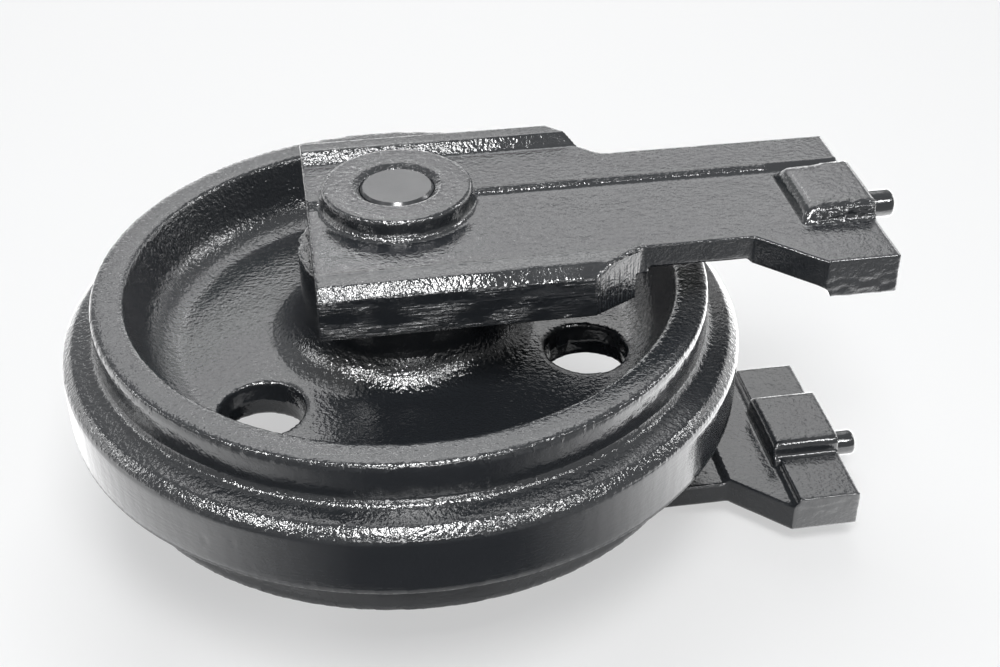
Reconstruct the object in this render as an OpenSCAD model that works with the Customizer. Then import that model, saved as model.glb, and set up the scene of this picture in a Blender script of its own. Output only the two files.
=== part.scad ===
// Front idler of a crawler excavator.
// A dished cast wheel turns on two bushes round a dead shaft. Each end of the shaft is pinned into a
// cast support, whose arm reaches back to butt against the yoke of the track adjuster.
// Origin: the wheel's centre, on the shaft's axis. +Z runs along the shaft, +X along the arms.

/* [Wheel] */
// Diameter of the tread that the track links run on
tread_d = 360; // [340:1:380]
// Diameter over the middle flange that guides the links
flange_d = 400; // [394:1:430]
// Width of the flange at its outer diameter
flange_w = 34; // [20:1:36]
// Width of the flange where it meets the tread
flange_root_w = 49; // [48:1:60]
// Bevel between the flange's shoulder and its outer diameter
flange_bevel = 5.8; // [2:0.2:7]
// Width over the two faces of the rim
rim_w = 100.5; // [90:0.5:120]
// Radial thickness of the rim at its face
rim_t = 19; // [12:1:24]
// Draft of the rim's inner wall in degrees
rim_draft = 18; // [8:1:22]
// Thickness of the web beside the rim
web_t = 20; // [14:1:26]
// Thickness of the web beside the hub
web_hub_t = 24; // [20:1:30]
// Diameter of the hub
hub_d = 118; // [112:1:126]
// Length of the hub over its two faces
hub_w = 140; // [130:1:150]
// Radius between hub and web
hub_fillet = 24; // [10:1:26]
// Radius between web and rim
rim_fillet = 24; // [8:1:26]
// Diameter of the lightening holes at the web's middle plane
hole_d = 47; // [30:1:52]
// How much wider the drafted holes are at the faces of the web
hole_flare = 2; // [0:0.5:4]
// Pitch circle of the lightening holes
hole_pcd = 223; // [216:1:224]
// Number of lightening holes
hole_count = 3; // [2:1:5]
// Angle of the first lightening hole
hole_angle = 98.5; // [0:0.5:120]

/* [Shaft and bushes] */
// Diameter of the shaft
shaft_d = 42; // [36:1:48]
// Step from the shaft to its middle thrust collar
thrust_step = 4; // [2:0.5:4.5]
// Width of the middle thrust collar
thrust_w = 33; // [20:1:40]
// How far each end of the shaft lies below its boss
shaft_recess = 1.5; // [1:0.5:4]
// Wall of a bush
bush_wall = 5; // [4:0.5:7]
// How far a bush lies below the floor of the seal housing
bush_inset = 2; // [1:0.5:6]
// Radial running clearance between bush and shaft
running_gap = 0.04; // [0.02:0.01:0.1]
// Clearance between pieces that are pressed or pinned together
static_gap = 0.02; // [0.01:0.01:0.05]
// Diameter of the oil passage in the shaft
oil_bore_d = 6; // [4:0.5:8]

/* [Seals] */
// Radial room for the seal between the shaft and its housing
seal_room = 19; // [18:0.5:21]
// Depth of each seal housing
seal_depth = 11; // [10.5:0.5:13]
// Gap between the hub and the seal boss of a support
seal_gap = 2; // [1:0.5:4]
// Cord diameter of the rubber ring that carries a seal ring
toric_d = 7.6; // [6:0.2:8]
// Wall of a seal ring behind its face
seal_ring_wall = 4; // [3:0.5:5]
// Thickness of a seal ring's face flange
seal_flange_t = 3; // [2:0.5:3.5]
// Wall of a support round its seal housing
seal_wall = 10; // [6:0.5:11]
// Cord diameter of the ring that seals the shaft in its support
oring_d = 3.4; // [2.6:0.2:4]

/* [Supports] */
// Gap between the hub's face and the inner face of an arm
arm_gap = 11.5; // [8:0.5:16]
// Thickness of the arm on its thin side
arm_t = 14.5; // [13:0.5:20]
// Height of the long step in the arm's outer face
step_h = 3.5; // [2:0.5:7]
// Height of the round boss over the stepped face
boss_h = 9; // [8:0.5:12]
// Diameter of the round boss
boss_d = 86; // [72:1:90]
// Front end of the slide plate, measured from the axis
plate_front = 52; // [51:1:70]
// Half width of the slide plate on its plain side
plain_edge = 85.5; // [82:0.5:95]
// Half width of the slide plate on its railed side
railed_edge = 67; // [64:0.5:80]
// Bevel along the outer edges of the slide plate
plate_bevel = 6; // [3:0.5:8]
// Width of the sloped shoulder beside the bevel of the plain edge
shoulder_w = 8.5; // [4:0.5:10]
// Fall of that shoulder
shoulder_drop = 2; // [1:0.5:4]
// Height of the raised rail
rail_h = 7; // [4:0.5:7.5]
// Width of the flat top of the raised rail
rail_top = 10; // [6:0.5:12]
// How far the plain edge is drawn in towards the wheel
skirt_drop = 18; // [6:0.5:19]
// Back end of the raised rail, from the axis to the middle of its slanted end
rail_back = 108; // [96:1:120]
// Slant of that end to the rail in degrees
rail_slant = 45; // [30:1:70]
// Where the cut corner of the plain edge meets the arm
cut_back = 126.5; // [105:0.5:128]
// Length of the cut corner
cut_corner = 28; // [16:1:34]

/* [Arm and head] */
// Plain side of the arm, from the axis
arm_plain = 70; // [60:0.5:72]
// Railed side of the arm, from the axis
arm_railed = 32.5; // [28:0.5:36]
// Where the arm starts to widen into its head
flare_x = 190; // [180:1:195]
// Where the head is at its full width
head_x = 221.5; // [216:0.5:226]
// Butt face of the head
butt_x = 262.5; // [258:0.5:290]
// Plain side of the head, from the axis
head_plain = 102; // [94:1:110]
// Step down from the arm to the flared part, on the inner face
flare_step = 3; // [1:0.5:5]
// Step down from the flared part to the head's pad, on the inner face
pad_step = 5.8; // [3:0.2:7]
// Width of the flat top of the block round the yoke pin
block_w = 42; // [36:1:50]
// Height of that block over each face of the head
block_h = 10; // [8:0.5:12]
// Radius along the edges of the block on the outer face
block_edge = 6; // [3:0.5:6]
// Radius along the foot of the block on the outer face
block_foot = 4; // [1:0.5:4]

/* [Pins] */
// Diameter of the yoke pin's free end
yoke_pin_d = 16; // [12:1:20]
// Straight length of the yoke pin's free end
yoke_pin_free = 18.5; // [12:0.5:30]
// Step from the yoke pin's free end to the thicker end in the head
yoke_pin_step = 2; // [1:0.5:3]
// How far the yoke pin's axis lies below the outer face of the head
yoke_pin_depth = 7.5; // [5:0.5:11]
// Length of the yoke pin inside the head
yoke_pin_hold = 34; // [24:1:38]
// Diameter of the pin that locks the shaft in its support
lock_pin_d = 10; // [8:1:12]

/* [Hidden] */
$fn = 96;

enamel = "#1b1e22";
steel = "#8d9196";
bronze = "#a8844a";
rubber = "#151515";

eps = 1;
edge = 1.5;
cast_edge = 3;
pin_edge = 2;
face_film = 0.05;
soft_gap = 0.1;
thrust_gap = 0.3;
tail_gap = 1;

// Levels across the assembly, measured from the wheel's middle plane
shaft_r = shaft_d / 2;
bush_r = shaft_r + bush_wall;
hub_z = hub_w / 2;
seal_r = shaft_r + seal_room;
seal_face_z = hub_z + seal_gap / 2;
hub_floor_z = hub_z - seal_depth;
boss_in_z = hub_z + seal_gap;
boss_floor_z = boss_in_z + seal_depth;
arm_in_z = hub_z + arm_gap;
arm_z = arm_in_z + arm_t;
step_z = arm_z + step_h;
rail_z = step_z + rail_h;
boss_z = step_z + boss_h;
shaft_z = boss_z - shaft_recess;
skirt_z = arm_in_z - skirt_drop;
flare_in_z = arm_in_z - flare_step;
pad_z = flare_in_z - pad_step;

// Places of the pins: the yoke pin in the middle of the head, the lock pin at the shaft's side
yoke_pin_y = (arm_railed - head_plain) / 2;
yoke_pin_z = arm_z - yoke_pin_depth;
yoke_shank_d = yoke_pin_d + 2 * yoke_pin_step;
lock_pin_bite = 1;
lock_pin_cover = 2;
lock_pin_sink = 1;
lock_pin_end = 16;
lock_pin_y = shaft_r - lock_pin_bite;
lock_pin_z = max(arm_in_z, boss_floor_z) + lock_pin_d / 2 + lock_pin_cover;
groove_w = oring_d + 1;
shaft_ring_z = lock_pin_z + lock_pin_d / 2 + groove_w;

// The foot of the long step lies just short of the axis
step_y = -2.2;
step_run = 6;

// The raised rail ends in a slant between two equal arcs, which reach this far either way from its middle
rail_round = 14;
rail_turn = rail_round * sin(rail_slant)
    + ((railed_edge - arm_railed) / 2 - rail_round * (1 - cos(rail_slant))) / tan(rail_slant);
plate_end = max(rail_back + rail_turn, cut_back);

// Each bush fills the bore between the thrust collar and the seal housing
bush_z = thrust_w / 2 + thrust_gap;
bush_len = hub_floor_z - bush_inset - bush_z;

// Flared mouth of the boss round the end of the shaft
mouth_w = 5;
mouth_h = 3;

// Oil plug in the lower end of the shaft
plug_head_d = 16;
plug_head_h = 4;
plug_shank_d = 10;
plug_shank_h = 9;
plug_key = 6;
plug_washer_t = 1.2;
plug_seat_h = plug_head_h + plug_washer_t + 1;
plug_gap = 0.3;

// Points along an arc about [x, y], from angle a to angle b
function arc(x, y, r, a, b, steps = 8) =
    [for (i = [0 : steps]) [x + r * cos(a + (b - a) * i / steps), y + r * sin(a + (b - a) * i / steps)]];

// The same points with the second coordinate reversed, in reverse order
function reflected(points) = [for (i = [len(points) - 1 : -1 : 0]) [points[i][0], -points[i][1]]];

// The outline is drawn in the YZ plane and drawn out along X from x to x + length
module along_x(x, length) translate([x, 0, 0]) rotate([90, 0, 90]) linear_extrude(length) children();

// The outline is drawn in the XZ plane and drawn out along Y from y to y + length
module along_y(y, length) translate([0, y + length, 0]) rotate([90, 0, 0]) linear_extrude(length) children();

// A round bar along +X that starts at the point
module bar_x(point, d, length) translate(point) rotate([0, 90, 0]) cylinder(d = d, h = length);

// Turns a piece of the upper side into its twin on the lower side
module lower() mirror([0, 0, 1]) children();

// Half profile of the wheel, from the bore at the middle plane round to the flange
function wheel_half() = let (
    rim_z = rim_w / 2,
    tread_r = tread_d / 2,
    flange_r = flange_d / 2,
    hub_r = hub_d / 2,
    rim_in_r = tread_r - rim_t,
    web_z = web_t / 2,
    wall_foot_z = web_z + rim_fillet * (1 - sin(rim_draft)),
    wall_foot_r = rim_in_r - (rim_z - edge - wall_foot_z) * tan(rim_draft),
    root_fillet = 4
) concat(
    [[bush_r, 0], [bush_r, hub_floor_z], [seal_r, hub_floor_z], [seal_r, hub_z - edge]],
    [[seal_r + edge, hub_z], [hub_r - edge, hub_z], [hub_r, hub_z - edge]],
    arc(hub_r + hub_fillet, web_hub_t / 2 + hub_fillet, hub_fillet, 180, 270),
    arc(wall_foot_r - rim_fillet * cos(rim_draft), web_z + rim_fillet, rim_fillet, 270, 360 - rim_draft),
    [[rim_in_r, rim_z - edge], [rim_in_r + edge, rim_z]],
    arc(tread_r - cast_edge, rim_z - cast_edge, cast_edge, 90, 0, 4),
    arc(tread_r + root_fillet, flange_root_w / 2 + root_fillet, root_fillet, 180, 270, 4),
    [[flange_r - flange_bevel, flange_w / 2 + flange_bevel], [flange_r, flange_w / 2]]
);

module idler_wheel() color(enamel) difference() {
    rotate_extrude($fn = 180) polygon(concat(wheel_half(), reflected(wheel_half())));
    for (i = [0 : hole_count - 1]) rotate(hole_angle + i * 360 / hole_count) translate([hole_pcd / 2, 0, 0]) {
        for (side = [0, 1]) mirror([0, 0, side])
            cylinder(d1 = hole_d, d2 = hole_d + 2 * hole_flare, h = web_t);
    }
}

// Dead shaft with a thrust collar, lock pin notches, ring grooves, an oil passage and a plug seat
module shaft() color(steel) difference() {
    union() {
        rotate_extrude() polygon([
            [0, -shaft_z], [shaft_r - edge, -shaft_z], [shaft_r, edge - shaft_z],
            [shaft_r, shaft_z - edge], [shaft_r - edge, shaft_z], [0, shaft_z]
        ]);
        cylinder(r = shaft_r + thrust_step, h = thrust_w, center = true);
    }
    for (side = [0, 1]) mirror([0, 0, side]) {
        bar_x([-shaft_d, lock_pin_y, lock_pin_z], lock_pin_d + 2 * static_gap, 2 * shaft_d);
        translate([0, 0, shaft_ring_z - groove_w / 2]) difference() {
            cylinder(d = shaft_d + 2 * eps, h = groove_w);
            translate([0, 0, -eps]) cylinder(r = shaft_r - oring_d - soft_gap, h = groove_w + 2 * eps);
        }
    }
    translate([0, 0, -shaft_z - eps]) cylinder(d = plug_head_d + 2 * plug_gap, h = plug_seat_h + eps);
    translate([0, 0, -shaft_z]) cylinder(d = plug_shank_d + 2 * static_gap, h = plug_seat_h + plug_shank_h);
    translate([0, 0, -shaft_z]) cylinder(d = oil_bore_d, h = shaft_z);
    rotate([90, 0, 0]) cylinder(d = oil_bore_d, h = shaft_d * 2, center = true);
}

// Outline of a support seen along the shaft
module support_plan() polygon(concat(
    [[-plate_front, -plain_edge], [cut_back - cut_corner, -plain_edge], [cut_back, -arm_plain]],
    [[flare_x, -arm_plain], [head_x, -head_plain], [butt_x, -head_plain], [butt_x, arm_railed]],
    arc(rail_back + rail_turn, arm_railed + rail_round, rail_round, 270, 270 - rail_slant),
    arc(rail_back - rail_turn, railed_edge - rail_round, rail_round, 90 - rail_slant, 90),
    [[-plate_front, railed_edge]]
));

// Section of the slide plate: a skirt and a shoulder on the plain side, the long step and the raised rail
module plate_section() polygon([
    [-plain_edge, skirt_z], [-plain_edge, arm_z - shoulder_drop - plate_bevel],
    [plate_bevel - plain_edge, arm_z - shoulder_drop], [plate_bevel + shoulder_w - plain_edge, arm_z],
    [step_y, arm_z], [step_y + step_run, step_z],
    [railed_edge - plate_bevel - rail_top - rail_h, step_z],
    [railed_edge - plate_bevel - rail_top, rail_z], [railed_edge - plate_bevel, rail_z],
    [railed_edge, rail_z - plate_bevel], [railed_edge, arm_in_z],
    [cast_edge - arm_plain, arm_in_z], [-arm_plain, arm_in_z - cast_edge], [-arm_plain, skirt_z]
]);

// Section of the arm and its head, with the long step in the outer face
module arm_section() polygon([
    [-head_plain, 0], [-head_plain, arm_z], [step_y, arm_z], [step_y + step_run, step_z],
    [arm_railed, step_z], [arm_railed, 0]
]);

// Side of the arm: its inner face steps down to the flared part and again to the head's pad
module arm_side() {
    pad_setback = 3;
    pad_x = head_x + pad_setback;
    polygon(concat(
        [[0, arm_in_z], [flare_x - flare_step, arm_in_z], [flare_x, flare_in_z]],
        arc(pad_x - pad_step, flare_in_z - pad_step, pad_step, 90, 0, 5),
        [[butt_x, pad_z], [butt_x, step_z], [0, step_z]]
    ));
}

// One flank of the block, from its flat top at [w, top] out and down to its foot on a face at 0
function block_flank(w, top, edge_r, foot_r) = concat(
    arc(w, top - edge_r, edge_r, 90, 0, 4),
    arc(w + edge_r + foot_r, foot_r, foot_r, 180, 270, 3)
);

// Block round the yoke pin, proud of both faces of the head, rounder on the outer face than on the inner one
module pin_block() {
    inner_edge = 5;
    inner_foot = 3;
    front_lead = 1;
    front_round = 8;
    half_w = block_w / 2;
    reach = half_w + block_edge + block_foot;
    front_x = head_x - front_lead;
    top_z = arm_z + block_h;
    low_z = pad_z - block_h;
    outer = [for (p = block_flank(half_w, block_h, block_edge, block_foot)) [p[0], arm_z + p[1]]];
    inner = [for (p = block_flank(half_w, block_h, inner_edge, inner_foot)) [p[0], pad_z - p[1]]];
    back = len(inner) - 1;
    intersection() {
        along_x(front_x, butt_x - front_x) translate([yoke_pin_y, 0]) for (side = [0, 1]) mirror([side, 0])
            polygon(concat([[-eps, top_z]], outer, [for (i = [back : -1 : 0]) inner[i]], [[-eps, low_z]]));
        along_y(yoke_pin_y - reach, 2 * reach) polygon(concat(
            [[butt_x, low_z], [butt_x, top_z]],
            arc(front_x + front_round, top_z - front_round, front_round, 90, 180, 6),
            arc(front_x + inner_edge, low_z + inner_edge, inner_edge, 180, 270, 3)
        ));
    }
}

// Turned boss that the shaft ends in, with a soft edge and a cast foot
module shaft_boss() {
    foot = 4;
    boss_r = boss_d / 2;
    rotate_extrude() polygon(concat(
        [[0, arm_in_z], [boss_r + foot, arm_in_z]],
        arc(boss_r + foot, arm_z + foot, foot, 270, 180, 5),
        arc(boss_r - cast_edge, boss_z - cast_edge, cast_edge, 0, 90, 5),
        [[0, boss_z]]
    ));
}

// Whole support of the upper side: slide plate, arm, head, boss and seal housing in one casting
module support() color(enamel) difference() {
    union() {
        intersection() {
            along_x(-plate_front, plate_front + plate_end) plate_section();
            linear_extrude(rail_z + eps) support_plan();
        }
        intersection() {
            along_x(plate_end - eps, butt_x - plate_end + eps) arm_section();
            along_y(-head_plain, head_plain + arm_railed) arm_side();
            linear_extrude(rail_z + eps) support_plan();
        }
        pin_block();
        shaft_boss();
        translate([0, 0, boss_in_z]) cylinder(r = seal_r + seal_wall, h = arm_z - boss_in_z);
    }
    translate([0, 0, boss_in_z - eps]) cylinder(r = shaft_r + static_gap, h = boss_z);
    translate([0, 0, boss_in_z - eps]) cylinder(r = seal_r, h = seal_depth + eps);
    translate([0, 0, boss_z - mouth_h])
        cylinder(r1 = shaft_r, r2 = shaft_r + mouth_w, h = mouth_h + face_film);
    translate([-plate_front - eps, 0, 0])
        bar_x([0, lock_pin_y, lock_pin_z], lock_pin_d + 2 * static_gap, plate_front + lock_pin_end + eps);
    translate([butt_x - yoke_pin_hold, 0, 0])
        bar_x([0, yoke_pin_y, yoke_pin_z], yoke_shank_d + 2 * static_gap, yoke_pin_hold + eps);
}

// Plain bush pressed into one end of the hub, against the shaft's thrust collar
module bush() color(bronze) translate([0, 0, bush_z]) difference() {
    cylinder(r = bush_r - static_gap, h = bush_len);
    translate([0, 0, -eps]) cylinder(r = shaft_r + running_gap, h = bush_len + 2 * eps);
}

// Metal seal ring: a lapped face flange and a tail that the rubber ring grips. Height 0 is its face
module seal_ring() {
    flange_gap = 2;
    flange_r = seal_r - flange_gap;
    tail_r = seal_r - toric_d - 2 * soft_gap;
    tail_h = seal_depth + seal_gap / 2 - tail_gap;
    rotate_extrude() polygon([
        [tail_r - seal_ring_wall, face_film], [flange_r, face_film], [flange_r, seal_flange_t],
        [tail_r, seal_flange_t], [tail_r, tail_h], [tail_r - seal_ring_wall, tail_h]
    ]);
}

// Rubber ring between a seal ring's tail and its housing, on the same heights
module toric() translate([0, 0, seal_flange_t + soft_gap + toric_d / 2])
    rotate_extrude() translate([seal_r - soft_gap - toric_d / 2, 0]) circle(d = toric_d);

// A seal half in its place: the fixed one faces down from the support, the turning one up from the hub
module fixed_half() translate([0, 0, seal_face_z]) children();
module turning_half() translate([0, 0, seal_face_z]) mirror([0, 0, 1]) children();

// Plain pin across the side of the shaft, from the front end of the support
module lock_pin() color(steel) translate([lock_pin_sink - plate_front, lock_pin_y, lock_pin_z])
    bar_x([0, 0, 0], lock_pin_d, plate_front + lock_pin_end - 2 * lock_pin_sink);

module shaft_ring() color(rubber) translate([0, 0, shaft_ring_z])
    rotate_extrude() translate([shaft_r - oring_d / 2, 0]) circle(d = oring_d);

// Stepped dowel that finds the yoke: the thick end is pressed into the head
module yoke_pin() color(enamel) translate([butt_x, yoke_pin_y, yoke_pin_z]) rotate([0, 90, 0]) {
    translate([0, 0, eps - yoke_pin_hold]) cylinder(d = yoke_shank_d, h = yoke_pin_hold - eps);
    cylinder(d = yoke_pin_d, h = yoke_pin_free);
    translate([0, 0, yoke_pin_free]) cylinder(d1 = yoke_pin_d, d2 = yoke_pin_d - 2 * pin_edge, h = pin_edge);
}

// Plug of the oil passage, with a six sided socket for its key
module oil_plug() color(steel) translate([0, 0, plug_seat_h - shaft_z - plug_washer_t]) difference() {
    union() {
        translate([0, 0, -plug_head_h]) cylinder(d = plug_head_d, h = plug_head_h);
        cylinder(d = plug_shank_d, h = plug_shank_h);
    }
    translate([0, 0, -plug_head_h - eps]) cylinder(d = plug_key, h = plug_head_h + eps, $fn = 6);
}

module plug_washer() color("#b06a3a") translate([0, 0, plug_seat_h - shaft_z - plug_washer_t]) difference() {
    cylinder(d = plug_head_d, h = plug_washer_t);
    translate([0, 0, -eps]) cylinder(d = plug_shank_d + 2 * static_gap, h = plug_washer_t + 2 * eps);
}

idler_wheel();
shaft();
support();  // upper_support
lower() support();  // lower_support
bush();  // upper_bush
lower() bush();  // lower_bush
color(steel) turning_half() seal_ring();  // upper_turning_seal_ring
color(steel) lower() turning_half() seal_ring();  // lower_turning_seal_ring
color(steel) fixed_half() seal_ring();  // upper_fixed_seal_ring
color(steel) lower() fixed_half() seal_ring();  // lower_fixed_seal_ring
color(rubber) turning_half() toric();  // upper_turning_toric
color(rubber) lower() turning_half() toric();  // lower_turning_toric
color(rubber) fixed_half() toric();  // upper_fixed_toric
color(rubber) lower() fixed_half() toric();  // lower_fixed_toric
lock_pin();  // upper_lock_pin
lower() lock_pin();  // lower_lock_pin
shaft_ring();  // upper_shaft_ring
lower() shaft_ring();  // lower_shaft_ring
yoke_pin();  // upper_yoke_pin
lower() yoke_pin();  // lower_yoke_pin
oil_plug();
plug_washer();
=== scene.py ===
import math
import random

import bmesh
import bpy
from mathutils import Matrix, Vector, noise


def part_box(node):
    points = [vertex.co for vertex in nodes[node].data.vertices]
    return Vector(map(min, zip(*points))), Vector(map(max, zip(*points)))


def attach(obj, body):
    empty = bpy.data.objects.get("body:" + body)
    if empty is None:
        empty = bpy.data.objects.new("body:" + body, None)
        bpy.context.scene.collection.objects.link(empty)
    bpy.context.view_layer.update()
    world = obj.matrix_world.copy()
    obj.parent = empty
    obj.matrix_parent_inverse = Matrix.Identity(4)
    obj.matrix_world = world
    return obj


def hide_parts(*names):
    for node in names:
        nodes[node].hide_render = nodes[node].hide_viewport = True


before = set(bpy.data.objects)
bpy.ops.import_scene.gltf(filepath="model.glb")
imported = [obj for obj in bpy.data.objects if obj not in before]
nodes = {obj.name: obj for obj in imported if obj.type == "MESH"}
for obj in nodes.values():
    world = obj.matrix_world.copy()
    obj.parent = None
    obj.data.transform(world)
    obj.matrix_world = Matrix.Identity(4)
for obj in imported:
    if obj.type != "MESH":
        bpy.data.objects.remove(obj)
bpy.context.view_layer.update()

# Wheel: one steel casting with a rim, a middle flange, a dished web and a hub. It is sand cast,
# turned only in its bore and over its flange, and dipped in black enamel that lies glossy over
# the rough skin of the sand.
mm = 0.001
# Forms of the wheel, in mm and degrees
wheel_grain = 2.55 * mm
flange_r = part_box("idler_wheel")[1].x / mm
turned_depth = 0.6
turned_r = flange_r - turned_depth
tread_r = 180
tread_slack = 2
rim_half = 50.25
hub_r = 59
hub_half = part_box("idler_wheel")[1].z / mm
hole_angles = (98.5, 218.5, 338.5)
hole_ring_r = 111.5
hole_r = 23.5
# Flash and crumbled edges
hub_edge_width = 4
hub_edge_depth = 5
hub_lip_drop = 0.7
hub_lip_reach = 2.6
hole_seam_reach = 2.8
hole_seam_height = 0.8
crumble_reach = 5
crumble_height = 0.35
# Waves of the sand, and the share of them that turning left on the flange
wave_height = 0.14
wave_length = 19
lump_height = 0.09
lump_length = 6.5
turned_wave_share = 0.3
# Enamel, and how much of the sand's grain and of the tool's streaks shows through it
enamel_black = (0.018, 0.020, 0.023)
enamel_peel = 0.30 * mm
wall_tilt = 0.3
flat_tilt = 0.97
wheel_grits = {"turned": 0.35, "tread": 0.5, "flat": 1.4, "slope": 2.2, "wall": 0.9}
turned_lay = 0.3
# Angle, radius, level, size and depth of each nick that handling left
wheel_nicks = [(233, 200, -1, 2.6, 0.5), (238, 200, 4, 1.8, 0.4), (250, 200, -14, 2.2, 0.5),
               (252, 200, -15, 1.8, 0.4), (226, 196, 21, 2.4, 0.5), (300, 199, 17, 2.2, 0.4),
               (181, 168, 50, 3.0, 0.5), (205, 171, 50, 2.4, 0.4), (292, 178, 50, 2.6, 0.5),
               (20, 199, -17, 2.4, 0.5), (75, 200, 3, 2.6, 0.5), (130, 179, -50, 3.0, 0.5)]


def put_in_scene(name, data):
    """Puts a new object of the given name into the scene and hands it back."""
    thing = bpy.data.objects.new(name, data)
    bpy.context.scene.collection.objects.link(thing)
    return thing


def cast_skin(node, name, grain):
    """Copies a solid as an even mesh of about the given grain, with its corners a little worn."""
    piece = put_in_scene(name, nodes[node].data.copy())
    weld = piece.modifiers.new("weld", "WELD")
    weld.merge_threshold = 0.01 * mm
    low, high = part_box(node)
    cell_doublings = 8
    even = piece.modifiers.new("even", "REMESH")
    even.mode = "SHARP"
    even.octree_depth = cell_doublings
    even.scale = max(high - low) / (2 ** cell_doublings * grain)
    even.use_remove_disconnected = False
    wear = piece.modifiers.new("wear", "SMOOTH")
    wear.factor = 0.5
    wear.iterations = 4
    graph = bpy.context.evaluated_depsgraph_get()
    skin = bpy.data.meshes.new_from_object(piece.evaluated_get(graph))
    piece.modifiers.clear()
    piece.data = skin
    skin.materials.clear()
    return piece


def refine(skin, inside, rounds):
    """Halves the edges of a skin within a region, once each round, so that it can take finer shapes."""
    shape = bmesh.new()
    shape.from_mesh(skin)
    for _ in range(rounds):
        within = {corner for corner in shape.verts if inside(corner.co / mm)}
        edges = [side for side in shape.edges if side.verts[0] in within and side.verts[1] in within]
        bmesh.ops.subdivide_edges(shape, edges=edges, cuts=1, use_grid_fill=True)
    shape.to_mesh(skin)
    shape.free()


def roughen(skin, rise):
    """Moves each point of a skin along its normal, by the height in mm that a rule gives for its place."""
    normals = [vertex.normal.copy() for vertex in skin.vertices]
    heights = [rise(vertex.co / mm, normal) for vertex, normal in zip(skin.vertices, normals)]
    for vertex, normal, height in zip(skin.vertices, normals, heights):
        vertex.co += normal * (height * mm)
    for face in skin.polygons:
        face.use_smooth = True
    skin.update()


def lay_mark(skin, mark, rule):
    """Notes a value on each point of a skin under the name of the mark, for its enamel to use."""
    values = skin.attributes.new(mark, "FLOAT", "POINT")
    for vertex, value in zip(skin.vertices, values.data):
        value.value = rule(vertex.co / mm, vertex.normal)


def lumps(place, length):
    """Unevenness from about -1 to 1, in lumps of about the given length in mm."""
    return noise.noise(place / length)


def sand_grain(place, seed):
    """Height in mm of the waves and lumps that a sand mould leaves."""
    shifted = place + Vector((seed, 2 * seed, 3 * seed))
    return wave_height * lumps(shifted, wave_length) + lump_height * lumps(shifted, lump_length)


def nearness(distance, reach):
    """One on a line or a spot, falling evenly to nought at the reach from it."""
    return max(0.0, 1 - distance / reach)


def dent_depth(place, dents):
    """Depth in mm of the deepest of some round dents, each given as its place, radius and depth."""
    depth = 0.0
    for middle, radius, deep in dents:
        away = (place - middle).length / radius
        if away < 1:
            depth = max(depth, deep * (1 - away * away))
    return depth


def new_finish(name, colour):
    """A material of one base colour, handed back with its tree of nodes and its shader."""
    finish = bpy.data.materials.new(name)
    finish.use_nodes = True
    shader = finish.node_tree.nodes["Principled BSDF"]
    shader.inputs["Base Color"].default_value = (*colour, 1)
    return finish, finish.node_tree, shader


def grain_of(tree, scale, detail, stretch=(1, 1, 1)):
    """Noise of a given fineness over a piece's own coordinates, squeezed by the stretch along each axis."""
    place = tree.nodes.new("ShaderNodeTexCoord")
    drawn = tree.nodes.new("ShaderNodeMapping")
    drawn.inputs["Scale"].default_value = stretch
    spots = tree.nodes.new("ShaderNodeTexNoise")
    spots.inputs["Scale"].default_value = scale
    spots.inputs["Detail"].default_value = detail
    spots.inputs["Roughness"].default_value = 0.6
    tree.links.new(place.outputs["Object"], drawn.inputs["Vector"])
    tree.links.new(drawn.outputs["Vector"], spots.inputs["Vector"])
    return spots.outputs["Fac"]


def spread_over(tree, value, low, high, start=0.3, stop=0.7):
    """Spreads the values from start to stop, which is the middle of a noise, over a range."""
    spread = tree.nodes.new("ShaderNodeMapRange")
    spread.inputs["From Min"].default_value = start
    spread.inputs["From Max"].default_value = stop
    spread.inputs["To Min"].default_value = low
    spread.inputs["To Max"].default_value = high
    tree.links.new(value, spread.inputs["Value"])
    return spread.outputs["Result"]


def worked_out(tree, operation, *values):
    """The result of one operation in a material on values that are numbers or outputs of other nodes."""
    step = tree.nodes.new("ShaderNodeMath")
    step.operation = operation
    for value, socket in zip(values, step.inputs):
        if isinstance(value, (int, float)):
            socket.default_value = value
        else:
            tree.links.new(value, socket)
    return step.outputs["Value"]


def mark_of(tree, mark):
    """The value that was laid on the skin under the name of a mark."""
    values = tree.nodes.new("ShaderNodeAttribute")
    values.attribute_name = mark
    return values.outputs["Fac"]


def raise_grain(tree, height, distance):
    """Lets a height in a material bend its normals, as a relief of the given distance would."""
    bump = tree.nodes.new("ShaderNodeBump")
    bump.inputs["Distance"].default_value = distance
    tree.links.new(height, bump.inputs["Height"])
    tree.links.new(bump.outputs["Normal"], tree.nodes["Principled BSDF"].inputs["Normal"])


def dipped_enamel(name):
    """Thick black gloss enamel, with sand grain by the grit mark and combed streaks by the lay mark."""
    paint, tree, shader = new_finish(name, enamel_black)
    shader.inputs["IOR"].default_value = 1.5
    sand = grain_of(tree, scale=380, detail=2)
    peel = worked_out(tree, "MULTIPLY", sand, mark_of(tree, "grit"))
    streaks = grain_of(tree, scale=1, detail=3, stretch=(25, 25, 700))
    combed = worked_out(tree, "MULTIPLY", streaks, mark_of(tree, "lay"))
    raise_grain(tree, worked_out(tree, "ADD", peel, combed), enamel_peel)
    gloss = spread_over(tree, grain_of(tree, scale=45, detail=4), low=0.06, high=0.15)
    tree.links.new(gloss, shader.inputs["Roughness"])
    return paint


def on_wheel(angle, radius, level):
    """Place on the wheel in mm, from an angle in degrees, a radius and a level."""
    turn = math.radians(angle)
    return Vector((radius * math.cos(turn), radius * math.sin(turn), level))


hole_middles = [on_wheel(angle, hole_ring_r, 0).xy for angle in hole_angles]
nick_list = [(on_wheel(angle, radius, level), size, depth)
             for angle, radius, level, size, depth in wheel_nicks]


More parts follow.
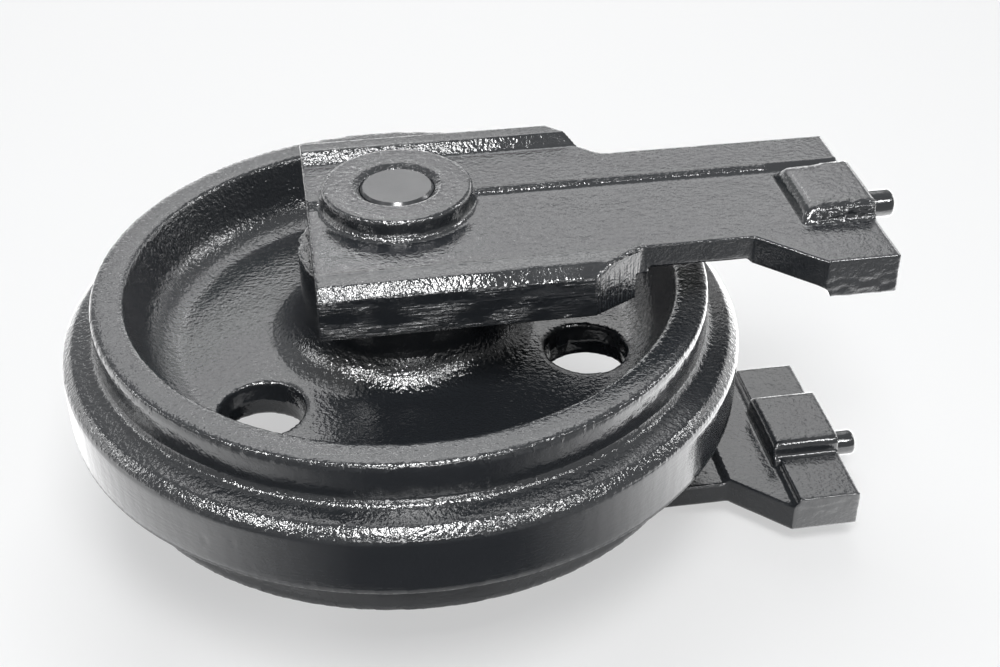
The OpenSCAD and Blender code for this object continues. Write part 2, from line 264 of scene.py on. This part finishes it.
def near_hub_edge(place):
    """Whether a point lies by the edge of one of the hub's end faces."""
    off = abs(math.hypot(place.x, place.y) - hub_r)
    return off < hub_edge_width and abs(place.z) > hub_half - hub_edge_depth


def on_hole_seam(place):
    """How near a point lies to the seam of flash round the middle of a web hole, from 0 to 1."""
    wall = min(abs((place.xy - middle).length - hole_r) for middle in hole_middles)
    return nearness(math.hypot(wall, place.z), hole_seam_reach)


def wheel_grit(place, normal):
    """The turned rim of the flange is nearly bare of grain, and hollows and bevels hold the most of it."""
    radius = math.hypot(place.x, place.y)
    tilt = abs(normal.z)
    if radius > turned_r:
        return wheel_grits["turned"]
    if tilt < wall_tilt and radius > tread_r - tread_slack:
        return wheel_grits["tread"]
    if tilt >= flat_tilt:
        return wheel_grits["flat"]
    return wheel_grits["slope"] if tilt > wall_tilt else wheel_grits["wall"]


def wheel_lay(place, normal):
    """Only the turned rim of the flange shows streaks."""
    return turned_lay if math.hypot(place.x, place.y) > turned_r else 0.0


def wheel_rise(place, normal):
    """Cast waves, crumbled edges round the rim, flash round the hub and in the web holes, and nicks."""
    radius = math.hypot(place.x, place.y)
    level = abs(place.z)
    share = turned_wave_share if radius > turned_r else 1.0
    rim_edge = math.hypot(radius - tread_r, level - rim_half)
    crumble = nearness(rim_edge, crumble_reach) * crumble_height * lumps(place, length=3.7)
    hub_lip = nearness(math.hypot(radius - hub_r, level - hub_half + hub_lip_drop), hub_lip_reach)
    flash = hub_lip * (0.5 + 1.5 * lumps(place, length=3.1) + 0.8 * lumps(place, length=9.3))
    flash += hole_seam_height * on_hole_seam(place) * (0.7 + lumps(place, length=4))
    return share * sand_grain(place, 0) + crumble + flash - dent_depth(place, nick_list)


casting_enamel = dipped_enamel("casting_enamel")
wheel = cast_skin("idler_wheel", "wheel_casting", wheel_grain)
refine(wheel.data, lambda place: near_hub_edge(place) or on_hole_seam(place) > 0, rounds=1)
lay_mark(wheel.data, "grit", wheel_grit)
lay_mark(wheel.data, "lay", wheel_lay)
roughen(wheel.data, wheel_rise)
wheel.data.materials.append(casting_enamel)
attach(wheel, "wheel")
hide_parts("idler_wheel")

# Bushes: two plain sleeves of cast bronze, bored and faced in a lathe, and pressed into the hub from
# each end. They carry the wheel on the shaft and run in oil.
tool_mark_height = 0.03 * mm


def worked_metal(name, colour, dull, shiny, scale, stretch):
    """Bare metal with the fine marks of its tool, drawn out along the axes with a low stretch."""
    metal, tree, shader = new_finish(name, colour)
    shader.inputs["Metallic"].default_value = 1
    marks = grain_of(tree, scale, 3, stretch)
    tree.links.new(spread_over(tree, marks, shiny, dull), shader.inputs["Roughness"])
    raise_grain(tree, marks, tool_mark_height)
    return metal


def finish_node(node, material):
    """Gives a piece that stays as its solid a material and the name of its slot."""
    nodes[node].data.materials.clear()
    nodes[node].data.materials.append(material)


bush_bronze = worked_metal("bush_bronze", (0.55, 0.37, 0.16),
                           dull=0.42, shiny=0.25, scale=60, stretch=(1, 1, 12))
for side in ("upper", "lower"):
    finish_node(f"{side}_bush", bush_bronze)

# Shaft: a dead shaft of ground steel with a thrust collar at its middle, a notch for each lock pin and
# an oil passage. Its two end faces lie open in the supports, so they were enamelled with them.
shaft_painted_from = 96


def place_along(tree, axis):
    """How far along one axis a point of a piece lies, in metres."""
    place = tree.nodes.new("ShaderNodeTexCoord")
    split = tree.nodes.new("ShaderNodeSeparateXYZ")
    tree.links.new(place.outputs["Object"], split.inputs["Vector"])
    return split.outputs[axis]


def paint_ends(metal, axis, start):
    """Puts enamel on the part of a metal that lies further out along an axis than the start in mm."""
    tree = metal.node_tree
    shader = tree.nodes["Principled BSDF"]
    reach = worked_out(tree, "ABSOLUTE", place_along(tree, axis))
    past = worked_out(tree, "GREATER_THAN", reach, start * mm)
    tint = tree.nodes.new("ShaderNodeMix")
    tint.data_type = "RGBA"
    colours = [socket for socket in tint.inputs if socket.type == "RGBA"]
    colours[0].default_value = shader.inputs["Base Color"].default_value
    colours[1].default_value = (*enamel_black, 1)
    tree.links.new(past, tint.inputs["Factor"])
    tinted = [socket for socket in tint.outputs if socket.type == "RGBA"][0]
    tree.links.new(tinted, shader.inputs["Base Color"])
    tree.links.new(worked_out(tree, "SUBTRACT", 1, past), shader.inputs["Metallic"])


shaft_steel = worked_metal("shaft_steel", (0.42, 0.43, 0.45),
                           dull=0.24, shiny=0.14, scale=50, stretch=(1, 1, 14))
paint_ends(shaft_steel, "Z", shaft_painted_from)
finish_node("shaft", shaft_steel)

# Floating seals: at each end of the hub two lapped rings of hard cast iron face each other. Each sits
# in a rubber ring that presses it home and lets it turn with its own side.
rubber_black = (0.02, 0.02, 0.02)
rubber_grain_height = 0.02 * mm


def soft_rubber(name):
    """Black rubber with the dull skin of its mould."""
    rubber, tree, shader = new_finish(name, rubber_black)
    skin = grain_of(tree, scale=300, detail=3)
    tree.links.new(spread_over(tree, skin, low=0.5, high=0.75), shader.inputs["Roughness"])
    raise_grain(tree, skin, rubber_grain_height)
    return rubber


seal_iron = worked_metal("seal_iron", (0.33, 0.33, 0.34),
                         dull=0.45, shiny=0.28, scale=150, stretch=(1, 1, 1))
seal_rubber = soft_rubber("seal_rubber")
for side in ("upper", "lower"):
    for half in ("turning", "fixed"):
        finish_node(f"{side}_{half}_seal_ring", seal_iron)
        finish_node(f"{side}_{half}_toric", seal_rubber)

# Shaft rings: a moulded rubber ring in a groove near each end of the shaft, which keeps the oil from
# creeping out between the shaft and its support.
for side in ("upper", "lower"):
    finish_node(f"{side}_shaft_ring", seal_rubber)

# Supports: two mirrored steel castings with a slide plate, a boss for the shaft, and an arm that widens
# into a head. They are cast in sand, flame cut at one corner, and wear the same enamel as the wheel.
support_grain = 1.38 * mm
# Walls of the slide plate and of the head
wall_y = -85.5
wall_skin = 1
plate_lay = 3.4
scrape_height = 1.0
head_wall_y = -102
torn_height = 0.55
torn_top = 90
torn_fade = 8
# Bevel, crease and rail of the slide plate
arm_level = 96
bevel_level = arm_level - 8
bevel_edge_reach = 2.4
bevel_crumble = 0.5
crease_y = -71
crease_reach = 1.8
crease_half = 1.0
crease_height = 0.32
crease_foot = arm_level - 2
rail_y = 30
# Flame-cut corner
cut_start = Vector((98.5, wall_y))
cut_end = Vector((126.5, -70.0))
cut_length = (cut_end - cut_start).length
cut_way = (cut_end - cut_start).normalized()
cut_out = Vector((cut_way.y, -cut_way.x))
cut_margin = 1
cut_skin = 2.2
groove_height = 0.26
groove_width = 1.25
groove_length = 24
groove_top = 90
groove_fade = 6
lip_level = 95
lip_half = 1.8
lip_height = 1.4
# Block of the head, and its rough flank
block_front = 219
block_back = 246
block_margin = 4
block_sides = (-68, -4)
block_foot = arm_level + 2.5
block_rounding = 40
flank_y = -61.75
flank_front = block_front + 9
flank_skin = 6
flank_flash = 1.5
# Waves and grain of the sand
flat_wave_share = 0.6
support_flat_tilt = 0.96
support_grits = {"flat": 1.1, "wall": 1.2, "block": 0.8, "flank": 2.0, "slope": 2.6}
grit_loss = 1.9
grit_loss_length = 60
near_loss_from = -10
far_loss_from = 25
# Dents of the flat faces
dent_count = 46
dent_x = (55, 255)
dent_y = (-66, -6)
dent_radius = (1.6, 3.4)
dent_deep = (0.08, 0.28)
dent_tilt = 0.9


def held(value):
    """A value kept between nought and one."""
    return min(1.0, max(0.0, value))


def wall_lumps(along, level, seed, length, height):
    """Unevenness of a wall from about -1 to 1, in lumps of about the given length and height in mm."""
    return noise.noise(Vector((along / length, level / height, seed)))


def on_cut(place):
    """How far along the flame-cut face a point lies, and how far off it, both in mm."""
    reach = place.xy - cut_start
    return reach.dot(cut_way), abs(reach.dot(cut_out))


def in_cut(place):
    """Whether a point lies on the flame-cut face or on the lip along its top."""
    along, off = on_cut(place)
    return -cut_margin < along < cut_length + cut_margin and off < cut_skin


def on_plate_wall(place):
    """Whether a point lies on the wall of the slide plate, below its bevel."""
    on_wall = abs(place.y - wall_y) < wall_skin
    return on_wall and place.x < cut_start.x and abs(place.z) < bevel_level


def on_bevel_edge(place):
    """How near a point lies to the edge between the wall of the slide plate and its bevel, from 0 to 1."""
    if place.x > cut_start.x:
        return 0.0
    return nearness(math.hypot(place.y - wall_y, abs(place.z) - bevel_level), bevel_edge_reach)


def on_head_wall(place):
    """Whether a point lies on the side wall of the head."""
    return abs(place.y - head_wall_y) < wall_skin


def on_block_flank(place):
    """Whether a point lies on the rough flank of the head's block."""
    on_flank = abs(place.y - flank_y) < flank_skin
    return on_flank and place.x > flank_front and abs(place.z) > arm_level


def on_crease(place):
    """Whether a point lies by the crease where the shoulder of the slide plate begins."""
    by_line = abs(place.y - crease_y) < crease_reach
    return by_line and place.x < cut_end.x and abs(place.z) > crease_foot


def in_walls(place):
    """Whether a point lies on one of the walls and lines that get finer shapes."""
    on_edge = on_bevel_edge(place) > 0 or on_crease(place)
    return on_edge or on_plate_wall(place) or on_head_wall(place) or on_block_flank(place)


def on_block(place):
    """Whether a point lies on the upper part of the head's block, whose corners the mould left round."""
    left, right = block_sides
    within = block_front - block_margin < place.x < block_back and left < place.y < right
    return within and abs(place.z) > block_foot


def soften(skin, inside, rounds):
    """Rounds off the corners of a skin within a region, a little more with each round."""
    shape = bmesh.new()
    shape.from_mesh(skin)
    corners = [corner for corner in shape.verts if inside(corner.co / mm)]
    for _ in range(rounds):
        bmesh.ops.smooth_vert(shape, verts=corners, factor=0.5,
                              use_axis_x=True, use_axis_y=True, use_axis_z=True)
    shape.to_mesh(skin)
    shape.free()


def support_grit(place, normal):
    """Slopes hold more sand than flats, and lose it towards the arm, except on the step by the rail."""
    tilt = abs(normal.z)
    if tilt >= support_flat_tilt:
        return support_grits["flat"]
    if tilt <= wall_tilt:
        return support_grits["wall"]
    if place.x > block_front:
        return support_grits["flank"] if on_block_flank(place) else support_grits["block"]
    if 0 <= place.y < rail_y:
        return support_grits["slope"]
    loss_from = near_loss_from if place.y < 0 else far_loss_from
    return support_grits["slope"] - grit_loss * held((place.x - loss_from) / grit_loss_length)


def scraped_patch(place, seed):
    """How hard a place on the wall of the slide plate is scraped, in patches that leave some of it bare."""
    return max(0.0, 0.35 + 1.5 * wall_lumps(place.x, abs(place.z), seed, length=22, height=9))


def support_lay(place, seed):
    """Only the wall of the slide plate shows streaks, along its length."""
    return plate_lay * scraped_patch(place, seed) if on_plate_wall(place) else 0.0


def scatter_dents(seed, sign):
    """Small dents and pits over the flat outer face of the arm and its head."""
    chance = random.Random(seed)
    dents = []
    for _ in range(dent_count):
        place = Vector((chance.uniform(*dent_x), chance.uniform(*dent_y), sign * arm_level))
        dents.append((place, chance.uniform(*dent_radius), chance.uniform(*dent_deep)))
    return dents


def cut_rise(place, seed):
    """Height in mm of the grooves down the flame-cut face and of the lumpy lip along its top."""
    along = on_cut(place)[0]
    level = abs(place.z)
    groove = wall_lumps(along, level, seed, groove_width, groove_length)
    groove_share = held((groove_top - level) / groove_fade)
    lump = 0.7 + wall_lumps(along, level, seed, length=3.6, height=3)
    lip = nearness(abs(level - lip_level), lip_half)
    return groove_height * groove * groove_share + lip_height * lip * lump


def support_rise(place, normal, seed, dents):
    """Sand waves, the flame cut, scraped and torn walls, rough edges, flash along the block, and dents."""
    level = abs(place.z)
    tilt = abs(normal.z)
    height = sand_grain(place, seed) * (flat_wave_share if tilt > flat_tilt else 1.0)
    if in_cut(place):
        return height + cut_rise(place, seed)
    if on_plate_wall(place):
        scrape = wall_lumps(place.x, level, seed + 4, length=5, height=1.3)
        height += scrape_height * scraped_patch(place, seed) * max(0.0, scrape - 0.05)
    height += bevel_crumble * on_bevel_edge(place) * lumps(place, length=2.1)
    if on_crease(place):
        ridge = nearness(abs(place.y - crease_y), crease_half)
        height += crease_height * ridge * (0.6 + lumps(place, length=5))
    if on_head_wall(place):
        torn = held((torn_top - level) / torn_fade)
        height += torn_height * torn * wall_lumps(place.x, level, seed + 7, length=8, height=4.2)
    if on_block_flank(place):
        seam = 1 - abs(wall_lumps(place.x, level, seed, length=7, height=2.2))
        height += flank_flash * max(0.0, seam - 0.72)
    if tilt > dent_tilt:
        height -= dent_depth(place, dents)
    return height


for side, sign, seed in (("upper", 1, 5), ("lower", -1, 11)):
    support = cast_skin(f"{side}_support", f"{side}_support_casting", support_grain)
    soften(support.data, on_block, rounds=block_rounding)
    refine(support.data, in_cut, rounds=2)
    refine(support.data, in_walls, rounds=1)
    lay_mark(support.data, "grit", support_grit)
    lay_mark(support.data, "lay", lambda place, normal: support_lay(place, seed))
    dents = scatter_dents(seed, sign)
    roughen(support.data, lambda place, normal: support_rise(place, normal, seed, dents))
    support.data.materials.append(casting_enamel)
    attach(support, "frame")
    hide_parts(f"{side}_support")

# Lock pins: a plain ground pin driven in from the front end of each support, across a notch in the
# shaft's side, so that the shaft can neither turn nor slide. Its outer end was enamelled with the
# support.
pin_painted_from = 46
pin_steel = worked_metal("pin_steel", (0.38, 0.39, 0.40),
                         dull=0.26, shiny=0.16, scale=50, stretch=(12, 1, 1))
paint_ends(pin_steel, "X", pin_painted_from)
for side in ("upper", "lower"):
    finish_node(f"{side}_lock_pin", pin_steel)

# Yoke pins: a stepped steel dowel in the head of each arm, turned from bar with a rounded tip. The
# thick end is pressed into the head, the free end finds a hole in the yoke, and enamel covers what
# stays outside.
pin_shank_r = 10
pin_free_r = 8
pin_chamfer = 0.8
pin_broken_edge = 0.5
pin_fillet = 0.6
pin_fillet_middle = 0.2
pin_tip_round = 2.6
pin_tip_flat_r = 2.5
pin_tip_crown = 0.01
pin_steps = 6
pin_segments = 72
pin_grit = 0.6
pin_wave_height = 0.05


def pin_outline(start, shoulder, end):
    """Half section of a pin, as pairs of place along X and radius: shank, step and round tip."""
    outline = [(start, 0), (start, pin_shank_r - pin_chamfer), (start + pin_chamfer, pin_shank_r)]
    outline += [(shoulder - pin_broken_edge, pin_shank_r), (shoulder, pin_shank_r - pin_broken_edge)]
    outline += [(shoulder, pin_free_r + pin_fillet)]
    outline += [(shoulder + pin_fillet_middle, pin_free_r + pin_fillet_middle)]
    outline += [(shoulder + pin_fillet, pin_free_r)]
    plain_length = end - pin_tip_round - shoulder
    for step in range(1, pin_steps + 1):
        outline.append((shoulder + plain_length * step / pin_steps, pin_free_r))
    for step in range(1, pin_steps + 1):
        bend = math.pi / 2 * step / pin_steps
        x = end - pin_tip_round * (1 - math.sin(bend))
        outline.append((x, pin_free_r - pin_tip_round * (1 - math.cos(bend))))
    return outline + [(end + pin_tip_crown, pin_tip_flat_r), (end + pin_tip_crown, 0)]


def turned_pin(name, outline, middle):
    """Turns an outline round the line along X through a middle place."""
    shape = bmesh.new()
    rings = []
    for x, radius in outline:
        turns = [2 * math.pi * step / pin_segments for step in range(pin_segments)]
        if radius == 0:
            turns = [0.0]
        places = [Vector((x, middle.y + radius * math.cos(turn), middle.z + radius * math.sin(turn)))
                  for turn in turns]
        rings.append([shape.verts.new(place * mm) for place in places])
    for first, second in zip(rings, rings[1:]):
        for step in range(pin_segments):
            after = (step + 1) % pin_segments
            corners = [first[step % len(first)], first[after % len(first)]]
            corners += [second[after % len(second)], second[step % len(second)]]
            shape.faces.new(list(dict.fromkeys(corners)))
    bmesh.ops.recalc_face_normals(shape, faces=shape.faces)
    mesh = bpy.data.meshes.new(name)
    shape.to_mesh(mesh)
    shape.free()
    return put_in_scene(name, mesh)


def pin_rise(place, normal):
    """Runs in the enamel and the light knocks of handling."""
    return pin_wave_height * lumps(place, length=4.1)


for side in ("upper", "lower"):
    low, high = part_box(f"{side}_yoke_pin")
    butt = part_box(f"{side}_support")[1].x
    outline = pin_outline(low.x / mm, butt / mm, high.x / mm)
    yoke_pin = turned_pin(f"{side}_yoke_dowel", outline, (low + high) / (2 * mm))
    lay_mark(yoke_pin.data, "grit", lambda place, normal: pin_grit)
    roughen(yoke_pin.data, pin_rise)
    yoke_pin.data.materials.append(casting_enamel)
    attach(yoke_pin, "frame")
    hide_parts(f"{side}_yoke_pin")

# Oil plug and washer: a zinc plated plug with a six sided socket closes the oil passage at the shaft's
# lower end, on a soft copper washer that is squeezed flat when the plug is tightened.
plug_zinc = worked_metal("plug_zinc", (0.36, 0.36, 0.35),
                         dull=0.42, shiny=0.26, scale=220, stretch=(1, 1, 1))
washer_copper = worked_metal("washer_copper", (0.60, 0.30, 0.17),
                             dull=0.38, shiny=0.22, scale=90, stretch=(1, 1, 8))
finish_node("oil_plug", plug_zinc)
finish_node("plug_washer", washer_copper)
for node in ("oil_plug", "plug_washer"):
    broken_edge = nodes[node].modifiers.new("broken_edge", "BEVEL")
    broken_edge.width = 0.25 * mm
    broken_edge.segments = 2
    broken_edge.limit_method = "ANGLE"
    broken_edge.angle_limit = math.radians(40)

# Floor: a sheet of white plastic that the idler lies on. Near the idler it has a painted glow, seen only by
# the camera and in the gloss, which paints the shadow on it paler. It is wide, and far from the idler it
# turns into the pale room. Its sizes, and those of the lamps and the ring, are in metres.
floor_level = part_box("lower_support")[0].z
floor_reach = 9.0
sheet_white = (0.77, 0.77, 0.77)
painted_glow_white = (0.96, 0.96, 0.96)
# Share of painted glow in the floor near the idler, rising to all glow far from it
painted_glow_share = 0.55
painted_glow_fade = (1.0, 2.6)


def pale_rays(tree):
    """One for the rays that see the room itself or see it in gloss or glass, and nought for plain light."""
    ray = tree.nodes.new("ShaderNodeLightPath")
    seen_or_glossy = worked_out(tree, "MAXIMUM", ray.outputs["Is Camera Ray"], ray.outputs["Is Glossy Ray"])
    return worked_out(tree, "MAXIMUM", seen_or_glossy, ray.outputs["Is Transmission Ray"])


def show_mixed(tree, share, plain, pale, out):
    """Sends two shaders out as one, with the pale one in the given share."""
    mix = tree.nodes.new("ShaderNodeMixShader")
    tree.links.new(share, mix.inputs["Fac"])
    tree.links.new(plain, mix.inputs[1])
    tree.links.new(pale, mix.inputs[2])
    tree.links.new(mix.outputs["Shader"], tree.nodes[out].inputs["Surface"])


floor_corners = [(x * floor_reach, y * floor_reach, floor_level)
                 for x, y in ((-1, -1), (1, -1), (1, 1), (-1, 1))]
floor_mesh = bpy.data.meshes.new("floor")
floor_mesh.from_pydata(floor_corners, [], [(0, 1, 2, 3)])
floor = put_in_scene("floor", floor_mesh)
sheet, sheet_tree, sheet_face = new_finish("white_sheet", sheet_white)
sheet_face.inputs["Roughness"].default_value = 0.9
sheet_face.inputs["Specular IOR Level"].default_value = 0
# Painted glow: white mixed into the floor for the camera and the gloss, which paints the idler's shadow on
# it paler
floor_painted_glow = sheet_tree.nodes.new("ShaderNodeEmission")
floor_painted_glow.inputs["Color"].default_value = (*painted_glow_white, 1)
sheet_place = sheet_tree.nodes.new("ShaderNodeTexCoord")
sheet_away = sheet_tree.nodes.new("ShaderNodeVectorMath")
sheet_away.operation = "LENGTH"
sheet_tree.links.new(sheet_place.outputs["Object"], sheet_away.inputs[0])
painted_glow_mix = spread_over(sheet_tree, sheet_away.outputs["Value"], painted_glow_share, 1, *painted_glow_fade)
painted_glow_mix = worked_out(sheet_tree, "MULTIPLY", painted_glow_mix, pale_rays(sheet_tree))
show_mixed(sheet_tree, painted_glow_mix, sheet_face.outputs["BSDF"], floor_painted_glow.outputs["Emission"],
           "Material Output")
floor_mesh.materials.append(sheet)

# Light: a key lamp in front, wide panels behind and above, and a dim room give the plain light. The
# panels also lie as a sheen on the flat tops. Low boards and small bright boxes show only in the gloss.
room_white = (0.90, 0.90, 0.90)
room_fill = (0.90, 0.95, 1.0)
room_fill_strength = 0.30
plain_panels = ("back_panel", "top_panel")
bpy.context.scene.view_settings.view_transform = "Standard"
room = bpy.data.worlds.new("room")
bpy.context.scene.world = room
room.use_nodes = True
room_tree = room.node_tree
seen_room = room_tree.nodes["Background"]
seen_room.inputs["Color"].default_value = (*room_white, 1)
fill_room = room_tree.nodes.new("ShaderNodeBackground")
fill_room.inputs["Color"].default_value = (*room_fill, 1)
fill_room.inputs["Strength"].default_value = room_fill_strength
show_mixed(room_tree, pale_rays(room_tree), fill_room.outputs["Background"],
           seen_room.outputs["Background"], "World Output")


def soft_box(name, bearing, height_angle, distance, width, height, radiance):
    """A lamp facing the idler, on a bearing from +X and at an angle over the floor, both in degrees."""
    lamp = bpy.data.lights.new(name, "AREA")
    lamp.shape = "RECTANGLE"
    lamp.size = width
    lamp.size_y = height
    lamp.energy = radiance * math.pi * width * height
    turn = math.radians(bearing)
    rise = math.radians(height_angle)
    way = Vector((math.cos(rise) * math.cos(turn), math.cos(rise) * math.sin(turn), math.sin(rise)))
    box = put_in_scene(name, lamp)
    box.location = distance * way
    box.rotation_mode = "QUATERNION"
    box.rotation_quaternion = (-distance * way).to_track_quat("-Z", "Y")
    return box


key_lamp = soft_box("key_lamp", bearing=-90, height_angle=62, distance=2.0,
                    width=0.8, height=0.8, radiance=14.5)
key_lamp.visible_glossy = False
for name, bearing, height_angle, distance, width, height, radiance in (
        ("back_panel", 83, 44, 3.0, 2.4, 1.7, 2.4),
        ("top_panel", 88, 66, 2.2, 1.5, 0.9, 3.6),
        ("left_board", 150, 8, 2.4, 2.2, 0.8, 2.0),
        ("back_board", 90, 8, 2.4, 2.2, 0.8, 2.2),
        ("right_board", 30, 8, 2.4, 2.2, 0.8, 2.6),
        ("front_glint", -95, 56, 1.8, 0.34, 0.8, 62),
        ("front_left_glint", -146, 41, 1.8, 0.40, 0.28, 70),
        ("front_right_glint", -49, 43, 1.8, 0.40, 0.28, 40),
        ("left_glint", 166, 27, 1.8, 0.30, 0.36, 18),
        ("right_glint", 6, 29, 1.8, 0.30, 0.36, 30),
        ("front_strip", -92, 11, 1.6, 1.0, 0.26, 18),
        ("back_glint", 88, 39, 2.5, 0.12, 0.10, 18)):
    panel = soft_box(name, bearing, height_angle, distance, width, height, radiance)
    panel.visible_diffuse = name in plain_panels

# Painted reflection ring: a flat ring that glows though it is no lamp. It lies on the floor round the
# idler, bright behind it and at both sides and dark in front. It shows only in the gloss, where it paints
# bright reflections on the walls and the undersides and a dark reflection in front.
ring_reaches = (0.245, 1.3)
ring_steps = 48
ring_level = floor_level + 0.4 * mm
ring_dark_reflection_grey = (0.03, 0.03, 0.035)
ring_glow = 2.4
ring_right_glow = 5.6
ring_front_share = 0.15
ring_left_fade = (-0.24, -0.09)
ring_right_fade = (0.10, 0.36)
ring_back_fade = (-0.28, -0.16)
ring_front_fade = (-0.36, -0.18)
ring_corners = []
for reach in ring_reaches:
    for step in range(ring_steps):
        turn = 2 * math.pi * step / ring_steps
        ring_corners.append((reach * math.cos(turn), reach * math.sin(turn), ring_level))
ring_faces = [(step, (step + 1) % ring_steps, (step + 1) % ring_steps + ring_steps, step + ring_steps)
              for step in range(ring_steps)]
ring_mesh = bpy.data.meshes.new("painted_reflection_ring")
ring_mesh.from_pydata(ring_corners, [], ring_faces)
ring = put_in_scene("painted_reflection_ring", ring_mesh)
ring.visible_camera = False
ring.visible_diffuse = False
ring.visible_shadow = False
# Painted reflection: emission that only the gloss sees, over a dark grey that stands in for a dark floor in
# front
ring_reflection_glow, ring_tree, ring_shader = new_finish("painted_reflection_glow", ring_dark_reflection_grey)
ring_shader.inputs["Roughness"].default_value = 0.9
ring_shader.inputs["Emission Color"].default_value = (1, 1, 1, 1)
ring_x = place_along(ring_tree, "X")
ring_y = place_along(ring_tree, "Y")
ring_left = spread_over(ring_tree, ring_x, ring_glow, 0, *ring_left_fade)
ring_right = spread_over(ring_tree, ring_x, 0, ring_right_glow, *ring_right_fade)
ring_back = spread_over(ring_tree, ring_y, 0, ring_glow, *ring_back_fade)
ring_front = spread_over(ring_tree, ring_y, ring_front_share, 1, *ring_front_fade)
ring_sides = worked_out(ring_tree, "MAXIMUM", ring_left, ring_right)
ring_sides = worked_out(ring_tree, "MULTIPLY", ring_sides, ring_front)
ring_all = worked_out(ring_tree, "MAXIMUM", ring_sides, ring_back)
ring_tree.links.new(ring_all, ring_shader.inputs["Emission Strength"])
ring_mesh.materials.append(ring_reflection_glow)

# Camera: it stands in front of the wheel and above it, and looks down on the idler, with the arms
# reaching away to the right.
camera_place = (-0.06182, -0.75694, 0.52822)
camera_heading = math.radians(-9.059)
camera_look_down = math.radians(34.664)
camera_roll = math.radians(-0.273)
camera_lens = bpy.data.cameras.new("camera")
camera_lens.sensor_width = 36
camera_lens.lens = 54.715
camera = put_in_scene("camera", camera_lens)
camera.matrix_world = (Matrix.Translation(camera_place) @ Matrix.Rotation(camera_heading, 4, "Z")
                       @ Matrix.Rotation(math.pi / 2 - camera_look_down, 4, "X")
                       @ Matrix.Rotation(camera_roll, 4, "Z"))
bpy.context.scene.camera = camera
